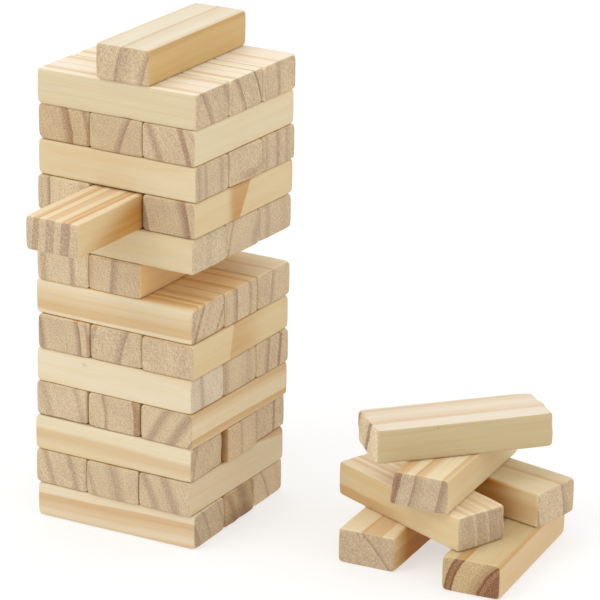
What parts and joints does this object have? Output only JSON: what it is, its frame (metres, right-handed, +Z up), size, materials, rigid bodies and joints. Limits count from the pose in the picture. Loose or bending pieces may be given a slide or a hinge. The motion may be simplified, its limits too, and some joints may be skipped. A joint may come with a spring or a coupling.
{
  "type": "tumbling tower game",
  "caption": "Tumbling tower lawn game in mid-play: crossed layers of plain pine blocks with a block pulled part way out, an empty slot, a block laid on top and a loose heap beside it.",
  "frame": {"origin": "middle of the tower's foot, on the ground", "axes": "+Z up, -Y the tower's front, where the pulled block comes out, +X to the right, towards the heap of loose blocks"},
  "size_m": [0.4159, 0.2943, 0.4176],
  "materials": {
    "pine_cream": "bare planed pine, matt",
    "pine_honey": "bare planed pine, matt",
    "pine_pale": "bare planed pine, matt"
  },
  "bodies": {
    "layer_01_front": {"layer_01_front": "pine_cream"},
    "layer_01_middle": {"layer_01_middle": "pine_honey"},
    "layer_01_back": {"layer_01_back": "pine_pale"},
    "layer_02_left": {"layer_02_left": "pine_honey"},
    "layer_02_middle": {"layer_02_middle": "pine_pale"},
    "layer_02_right": {"layer_02_right": "pine_cream"},
    "layer_03_front": {"layer_03_front": "pine_pale"},
    "layer_03_middle": {"layer_03_middle": "pine_cream"},
    "layer_03_back": {"layer_03_back": "pine_honey"},
    "layer_04_left": {"layer_04_left": "pine_cream"},
    "layer_04_middle": {"layer_04_middle": "pine_honey"},
    "layer_04_right": {"layer_04_right": "pine_pale"},
    "layer_05_front": {"layer_05_front": "pine_honey"},
    "layer_05_middle": {"layer_05_middle": "pine_pale"},
    "layer_05_back": {"layer_05_back": "pine_cream"},
    "layer_06_left": {"layer_06_left": "pine_pale"},
    "layer_06_middle": {"layer_06_middle": "pine_cream"},
    "layer_06_right": {"layer_06_right": "pine_honey"},
    "layer_07_front": {"layer_07_front": "pine_cream"},
    "layer_07_middle": {"layer_07_middle": "pine_honey"},
    "layer_07_back": {"layer_07_back": "pine_pale"},
    "layer_08_left": {"layer_08_left": "pine_honey"},
    "layer_08_middle": {"layer_08_middle": "pine_pale"},
    "layer_09_front": {"layer_09_front": "pine_pale"},
    "layer_09_middle": {"layer_09_middle": "pine_cream"},
    "layer_09_back": {"layer_09_back": "pine_honey"},
    "layer_10_left": {"layer_10_left": "pine_cream"},
    "layer_10_middle": {"layer_10_middle": "pine_honey"},
    "layer_10_right": {"layer_10_right": "pine_pale"},
    "layer_11_front": {"layer_11_front": "pine_honey"},
    "layer_11_middle": {"layer_11_middle": "pine_pale"},
    "layer_11_back": {"layer_11_back": "pine_cream"},
    "layer_12_left": {"layer_12_left": "pine_pale"},
    "layer_12_middle": {"layer_12_middle": "pine_cream"},
    "layer_12_right": {"layer_12_right": "pine_honey"},
    "layer_13_front": {"layer_13_front": "pine_cream"},
    "layer_13_middle": {"layer_13_middle": "pine_honey"},
    "layer_13_back": {"layer_13_back": "pine_pale"},
    "top_block": {"top_block": "pine_pale"},
    "heap_ground_left": {"heap_ground_left": "pine_cream"},
    "heap_ground_right": {"heap_ground_right": "pine_honey"},
    "heap_second_front": {"heap_second_front": "pine_pale"},
    "heap_second_back": {"heap_second_back": "pine_cream"},
    "heap_third": {"heap_third": "pine_honey"},
    "heap_top": {"heap_top": "pine_pale"}
  },
  "joints": [
    {"name": "slide_layer_01_front", "type": "slide", "parent": "layer_01_middle", "child": "layer_01_front", "axis": [0.9994, 0.0349, 0], "range_m": [-0.152, 0.08]},
    {"name": "slide_layer_01_back", "type": "slide", "parent": "layer_01_middle", "child": "layer_01_back", "axis": [0.9994, 0.0349, 0], "range_m": [-0.152, 0.08]},
    {"name": "slide_layer_02_left", "type": "slide", "parent": "layer_01_middle", "child": "layer_02_left", "axis": [-0.0087, 1, 0], "range_m": [-0.152, 0.152]},
    {"name": "slide_layer_02_middle", "type": "slide", "parent": "layer_01_middle", "child": "layer_02_middle", "axis": [-0.0087, 1, 0], "range_m": [-0.152, 0.152]},
    {"name": "slide_layer_02_right", "type": "slide", "parent": "layer_01_middle", "child": "layer_02_right", "axis": [-0.0087, 1, 0], "range_m": [-0.152, 0.152]},
    {"name": "slide_layer_03_front", "type": "slide", "parent": "layer_01_middle", "child": "layer_03_front", "axis": [0.9999, 0.0157, 0], "range_m": [-0.152, 0.08]},
    {"name": "slide_layer_03_middle", "type": "slide", "parent": "layer_01_middle", "child": "layer_03_middle", "axis": [0.9999, 0.0157, 0], "range_m": [-0.152, 0.08]},
    {"name": "slide_layer_03_back", "type": "slide", "parent": "layer_01_middle", "child": "layer_03_back", "axis": [0.9999, 0.0157, 0], "range_m": [-0.152, 0.08]},
    {"name": "slide_layer_04_left", "type": "slide", "parent": "layer_01_middle", "child": "layer_04_left", "axis": [-0.0017, 1, 0], "range_m": [-0.152, 0.152]},
    {"name": "slide_layer_04_middle", "type": "slide", "parent": "layer_01_middle", "child": "layer_04_middle", "axis": [-0.0017, 1, 0], "range_m": [-0.152, 0.152]},
    {"name": "slide_layer_04_right", "type": "slide", "parent": "layer_01_middle", "child": "layer_04_right", "axis": [-0.0017, 1, 0], "range_m": [-0.152, 0.152]},
    {"name": "slide_layer_05_front", "type": "slide", "parent": "layer_01_middle", "child": "layer_05_front", "axis": [1, -0.007, 0], "range_m": [-0.152, 0.152]},
    {"name": "slide_layer_05_middle", "type": "slide", "parent": "layer_01_middle", "child": "layer_05_middle", "axis": [1, -0.007, 0], "range_m": [-0.152, 0.152]},
    {"name": "slide_layer_05_back", "type": "slide", "parent": "layer_01_middle", "child": "layer_05_back", "axis": [1, -0.007, 0], "range_m": [-0.152, 0.152]},
    {"name": "slide_layer_06_left", "type": "slide", "parent": "layer_01_middle", "child": "layer_06_left", "axis": [-0.007, 1, 0], "range_m": [-0.152, 0.152]},
    {"name": "slide_layer_06_middle", "type": "slide", "parent": "layer_01_middle", "child": "layer_06_middle", "axis": [-0.007, 1, 0], "range_m": [-0.152, 0.152]},
    {"name": "slide_layer_06_right", "type": "slide", "parent": "layer_01_middle", "child": "layer_06_right", "axis": [-0.007, 1, 0], "range_m": [-0.152, 0.152]},
    {"name": "slide_layer_07_front", "type": "slide", "parent": "layer_01_middle", "child": "layer_07_front", "axis": [1, -0.007, 0], "range_m": [-0.152, 0.152]},
    {"name": "slide_layer_07_middle", "type": "slide", "parent": "layer_01_middle", "child": "layer_07_middle", "axis": [1, -0.007, 0], "range_m": [-0.152, 0.152]},
    {"name": "slide_layer_07_back", "type": "slide", "parent": "layer_01_middle", "child": "layer_07_back", "axis": [1, -0.007, 0], "range_m": [-0.152, 0.152]},
    {"name": "slide_layer_08_left", "type": "slide", "parent": "layer_01_middle", "child": "layer_08_left", "axis": [-0.0035, 1, 0], "range_m": [-0.152, 0.152]},
    {"name": "slide_layer_08_middle", "type": "slide", "parent": "layer_01_middle", "child": "layer_08_middle", "axis": [-0.0035, 1, 0], "range_m": [-0.152, 0.152]},
    {"name": "slide_layer_09_front", "type": "slide", "parent": "layer_01_middle", "child": "layer_09_front", "axis": [0.9997, -0.0227, 0], "range_m": [-0.152, 0.152]},
    {"name": "slide_layer_09_middle", "type": "slide", "parent": "layer_01_middle", "child": "layer_09_middle", "axis": [0.9997, -0.0227, 0], "range_m": [-0.152, 0.152]},
    {"name": "slide_layer_09_back", "type": "slide", "parent": "layer_01_middle", "child": "layer_09_back", "axis": [0.9997, -0.0227, 0], "range_m": [-0.152, 0.152]},
    {"name": "slide_layer_10_left", "type": "slide", "parent": "layer_01_middle", "child": "layer_10_left", "axis": [0.0087, 1, 0], "range_m": [-0.152, 0.152]},
    {"name": "slide_layer_10_middle", "type": "slide", "parent": "layer_01_middle", "child": "layer_10_middle", "axis": [0.0087, 1, 0], "range_m": [-0.0625, 0.2415]},
    {"name": "slide_layer_10_right", "type": "slide", "parent": "layer_01_middle", "child": "layer_10_right", "axis": [0.0087, 1, 0], "range_m": [-0.152, 0.152]},
    {"name": "slide_layer_11_front", "type": "slide", "parent": "layer_01_middle", "child": "layer_11_front", "axis": [0.9999, -0.0105, 0], "range_m": [-0.152, 0.152]},
    {"name": "slide_layer_11_middle", "type": "slide", "parent": "layer_01_middle", "child": "layer_11_middle", "axis": [0.9999, -0.0105, 0], "range_m": [-0.152, 0.152]},
    {"name": "slide_layer_11_back", "type": "slide", "parent": "layer_01_middle", "child": "layer_11_back", "axis": [0.9999, -0.0105, 0], "range_m": [-0.152, 0.152]},
    {"name": "slide_layer_12_left", "type": "slide", "parent": "layer_01_middle", "child": "layer_12_left", "axis": [0.0105, 0.9999, 0], "range_m": [-0.152, 0.152]},
    {"name": "slide_layer_12_middle", "type": "slide", "parent": "layer_01_middle", "child": "layer_12_middle", "axis": [0.0105, 0.9999, 0], "range_m": [-0.152, 0.152]},
    {"name": "slide_layer_12_right", "type": "slide", "parent": "layer_01_middle", "child": "layer_12_right", "axis": [0.0105, 0.9999, 0], "range_m": [-0.152, 0.152]},
    {"name": "slide_layer_13_front", "type": "slide", "parent": "layer_01_middle", "child": "layer_13_front", "axis": [1, -0.0052, 0], "range_m": [-0.152, 0.152]},
    {"name": "slide_layer_13_middle", "type": "slide", "parent": "layer_01_middle", "child": "layer_13_middle", "axis": [1, -0.0052, 0], "range_m": [-0.152, 0.152]},
    {"name": "slide_layer_13_back", "type": "slide", "parent": "layer_01_middle", "child": "layer_13_back", "axis": [1, -0.0052, 0], "range_m": [-0.152, 0.152]},
    {"name": "lift_top_block", "type": "slide", "parent": "layer_01_middle", "child": "top_block", "axis": [0, 0, 1], "range_m": [0, 0.06]},
    {"name": "slide_heap_ground_left", "type": "slide", "parent": "layer_01_middle", "child": "heap_ground_left", "axis": [-0.0785, 0.9969, 0], "range_m": [-0.152, 0.152]},
    {"name": "slide_heap_ground_right", "type": "slide", "parent": "layer_01_middle", "child": "heap_ground_right", "axis": [-0.1045, 0.9945, 0], "range_m": [-0.152, 0.152]},
    {"name": "slide_heap_second_front", "type": "slide", "parent": "layer_01_middle", "child": "heap_second_front", "axis": [0.9304, -0.3665, 0], "range_m": [-0.054, 0.152]},
    {"name": "slide_heap_second_back", "type": "slide", "parent": "layer_01_middle", "child": "heap_second_back", "axis": [0.9833, -0.1822, 0], "range_m": [-0.02, 0.152]},
    {"name": "lift_heap_third", "type": "slide", "parent": "layer_01_middle", "child": "heap_third", "axis": [0, 0, 1], "range_m": [0, 0.02985]},
    {"name": "lift_heap_top", "type": "slide", "parent": "heap_third", "child": "heap_top", "axis": [0, 0, 1], "range_m": [0, 0.02985]}
  ]
}
